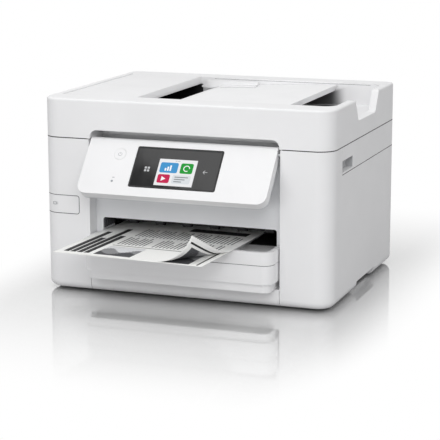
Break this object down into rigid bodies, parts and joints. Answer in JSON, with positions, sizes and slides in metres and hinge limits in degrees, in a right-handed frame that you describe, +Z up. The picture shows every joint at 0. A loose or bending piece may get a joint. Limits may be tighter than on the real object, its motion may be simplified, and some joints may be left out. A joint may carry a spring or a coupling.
{
  "type": "inkjet all-in-one printer",
  "caption": "White desktop inkjet all-in-one with flatbed scanner, document feeder lid, tilting touch panel, front paper cassette and pull-out output tray holding printed pages.",
  "frame": {"origin": "middle of the footprint, drawers and lying pages included, on the surface it stands on", "axes": "+Z up, -Y towards the front with the panel and paper exit, +X to the right seen from the front"},
  "size_m": [0.41, 0.469, 0.266],
  "materials": {
    "casing_white": "fine satin",
    "frame_white": "satin",
    "strip_white": "satin",
    "bezel_white": "satin",
    "panel_white": "soft gloss",
    "panel_grey": "satin",
    "panel_black": "high gloss",
    "screen": "gloss",
    "lens": "gloss",
    "button_white": "soft gloss",
    "tray_white": "satin",
    "cassette_white": "satin",
    "cassette_grey": "satin",
    "paper": "matt",
    "feeder_white": "fine satin",
    "feeder_tray": "satin",
    "guide_white": "satin",
    "scan_glass": "clear",
    "mat_white": "foam backed",
    "plate_white": "satin",
    "base_grey": "satin",
    "works_black": "satin",
    "works_steel": "zinc plated",
    "motor_steel": "zinc plated",
    "foot_rubber": "matt",
    "roller_rubber": "matt",
    "gear_white": "satin",
    "belt_rubber": "matt",
    "ink_case": "gloss",
    "board_green": "satin",
    "supply_metal": "satin"
  },
  "bodies": {
    "casing": {"base_pan": "base_grey", "left_side_cover": "casing_white", "right_side_cover": "casing_white", "rear_panel": "casing_white", "front_bezel": "bezel_white", "lower_front_strip": "strip_white", "panel_hinge_pins": "works_steel", "rubber_feet": "foot_rubber", "case_screws": "works_steel", "side_frames": "works_steel", "carriage_rail": "works_steel", "platen": "works_black", "belt_motor": "motor_steel", "carriage_belt": "belt_rubber", "feed_motor": "motor_steel", "maintenance_station": "works_black", "main_board": "board_green", "power_supply": "supply_metal", "power_inlet": "works_black", "front_usb_port": "works_black", "pickup_arm": "works_black"},
    "rear_cover": {"rear_cover": "casing_white"},
    "usb_door": {"usb_cover": "casing_white"},
    "carriage": {"carriage": "works_black", "ink_cartridges": "ink_case"},
    "motor_pulley": {"motor_pulley": "gear_white"},
    "idler_pulley": {"idler_pulley": "gear_white"},
    "feed_roller": {"feed_roller": "roller_rubber", "feed_gear": "gear_white"},
    "eject_roller": {"eject_roller": "roller_rubber", "eject_gear": "gear_white"},
    "idler_gear": {"idler_gear": "gear_white"},
    "feed_pinion": {"feed_pinion": "gear_white"},
    "pickup_roller": {"pickup_roller": "roller_rubber"},
    "output_tray": {"output_tray": "tray_white"},
    "printed_sheets": {"printed_sheets": "paper"},
    "cassette": {"cassette_front": "cassette_white", "cassette_tray": "cassette_grey"},
    "cassette_guide_left": {"cassette_guide_left": "cassette_grey"},
    "cassette_guide_right": {"cassette_guide_right": "cassette_grey"},
    "cassette_end_guide": {"cassette_end_guide": "cassette_grey"},
    "control_panel": {"panel_face": "panel_white", "panel_back": "panel_grey", "panel_glass": "panel_black", "lcd_screen": "screen", "status_lens": "lens"},
    "power_button": {"power_button": "button_white"},
    "scanner_unit": {"scanner_bed": "casing_white", "scanner_frame": "frame_white", "platen_glass": "scan_glass", "scan_rod": "works_steel"},
    "scan_sensor": {"scan_sensor": "works_black"},
    "document_cover": {"document_cover": "casing_white", "document_plate": "plate_white", "document_mat": "mat_white"},
    "adf_cover": {"adf_cover": "feeder_white"},
    "adf_tray": {"adf_tray": "feeder_tray"},
    "adf_guide_front": {"adf_guide_front": "guide_white"},
    "adf_guide_rear": {"adf_guide_rear": "guide_white"},
    "adf_roller": {"adf_roller": "roller_rubber"}
  },
  "joints": [
    {"name": "rear_cover_pull", "type": "slide", "parent": "casing", "child": "rear_cover", "axis": [0, 1, 0], "range_m": [0, 0.06]},
    {"name": "usb_door_swing", "type": "hinge", "parent": "casing", "child": "usb_door", "pos_m": [-0.2018, -0.0664, 0.12075], "axis": [0, 0, -1], "range_deg": [0, 95]},
    {"name": "carriage_travel", "type": "slide", "parent": "casing", "child": "carriage", "axis": [-1, 0, 0], "range_m": [0, 0.27]},
    {"name": "motor_pulley_spin", "type": "hinge", "parent": "casing", "child": "motor_pulley", "pos_m": [-0.172, 0.0545, 0.135], "axis": [0, 1, 0], "continuous": true},
    {"name": "idler_pulley_spin", "type": "hinge", "parent": "casing", "child": "idler_pulley", "pos_m": [0.172, 0.0545, 0.135], "axis": [0, 1, 0], "continuous": true},
    {"name": "feed_roller_spin", "type": "hinge", "parent": "casing", "child": "feed_roller", "pos_m": [0, 0.0345, 0.093], "axis": [1, 0, 0], "continuous": true},
    {"name": "eject_roller_spin", "type": "hinge", "parent": "casing", "child": "eject_roller", "pos_m": [0, -0.0305, 0.093], "axis": [1, 0, 0], "continuous": true},
    {"name": "idler_gear_spin", "type": "hinge", "parent": "casing", "child": "idler_gear", "pos_m": [-0.184, 0.002, 0.093], "axis": [1, 0, 0], "continuous": true},
    {"name": "feed_pinion_spin", "type": "hinge", "parent": "casing", "child": "feed_pinion", "pos_m": [-0.184, 0.0345, 0.071], "axis": [1, 0, 0], "continuous": true},
    {"name": "pickup_roller_spin", "type": "hinge", "parent": "casing", "child": "pickup_roller", "pos_m": [0, 0.1515, 0.056], "axis": [1, 0, 0], "continuous": true},
    {"name": "output_tray_pull", "type": "slide", "parent": "casing", "child": "output_tray", "axis": [0, -1, 0], "range_m": [0, 0.1]},
    {"name": "sheets_draw", "type": "slide", "parent": "output_tray", "child": "printed_sheets", "axis": [-0.0558, -0.9984, 0], "range_m": [0, 0.12]},
    {"name": "cassette_pull", "type": "slide", "parent": "casing", "child": "cassette", "axis": [0, -1, 0], "range_m": [0, 0.22]},
    {"name": "cassette_width_left", "type": "slide", "parent": "cassette", "child": "cassette_guide_left", "axis": [1, 0, 0], "range_m": [0, 0.04]},
    {"name": "cassette_width_right", "type": "slide", "parent": "cassette", "child": "cassette_guide_right", "axis": [-1, 0, 0], "range_m": [0, 0.04]},
    {"name": "cassette_length", "type": "slide", "parent": "cassette", "child": "cassette_end_guide", "axis": [0, -1, 0], "range_m": [0, 0.08]},
    {"name": "panel_tilt", "type": "hinge", "parent": "casing", "child": "control_panel", "pos_m": [0, -0.0955, 0.205], "axis": [-1, 0, 0], "range_deg": [-40, 25]},
    {"name": "power_press", "type": "slide", "parent": "control_panel", "child": "power_button", "axis": [0, 0.766, -0.6428], "range_m": [0, 0.001], "stiffness_N_per_m": 600, "springref_m": -0.001},
    {"name": "scanner_open", "type": "hinge", "parent": "casing", "child": "scanner_unit", "pos_m": [0, 0.2245, 0.177], "axis": [-1, 0, 0], "range_deg": [0, 45]},
    {"name": "sensor_scan", "type": "slide", "parent": "scanner_unit", "child": "scan_sensor", "axis": [1, 0, 0], "range_m": [0, 0.31]},
    {"name": "document_cover_open", "type": "hinge", "parent": "scanner_unit", "child": "document_cover", "pos_m": [0, 0.2245, 0.2135], "axis": [-1, 0, 0], "range_deg": [0, 80]},
    {"name": "feeder_cover_open", "type": "hinge", "parent": "document_cover", "child": "adf_cover", "pos_m": [-0.1894, 0.063, 0.2625], "axis": [0, -1, 0], "range_deg": [0, 75]},
    {"name": "input_tray_lift", "type": "hinge", "parent": "document_cover", "child": "adf_tray", "pos_m": [-0.06, 0.063, 0.2485], "axis": [0, -1, 0], "range_deg": [0, 40]},
    {"name": "feeder_guide_front", "type": "slide", "parent": "adf_tray", "child": "adf_guide_front", "axis": [0, 1, 0], "range_m": [0, 0.055]},
    {"name": "feeder_guide_rear", "type": "slide", "parent": "adf_tray", "child": "adf_guide_rear", "axis": [0, -1, 0], "range_m": [0, 0.055]},
    {"name": "feeder_roller_spin", "type": "hinge", "parent": "document_cover", "child": "adf_roller", "pos_m": [-0.072, 0.063, 0.236], "axis": [0, 1, 0], "continuous": true}
  ],
  "couplings": [
    {"joint": "motor_pulley_spin", "follows": "carriage_travel", "rad_per_m": 166.67},
    {"joint": "idler_pulley_spin", "follows": "carriage_travel", "rad_per_m": 166.67},
    {"joint": "eject_roller_spin", "follows": "feed_roller_spin", "ratio": 1},
    {"joint": "idler_gear_spin", "follows": "feed_roller_spin", "ratio": -0.9697},
    {"joint": "feed_pinion_spin", "follows": "feed_roller_spin", "ratio": -2.6667},
    {"joint": "cassette_width_right", "follows": "cassette_width_left", "ratio": 1},
    {"joint": "feeder_guide_rear", "follows": "feeder_guide_front", "ratio": 1}
  ]
}
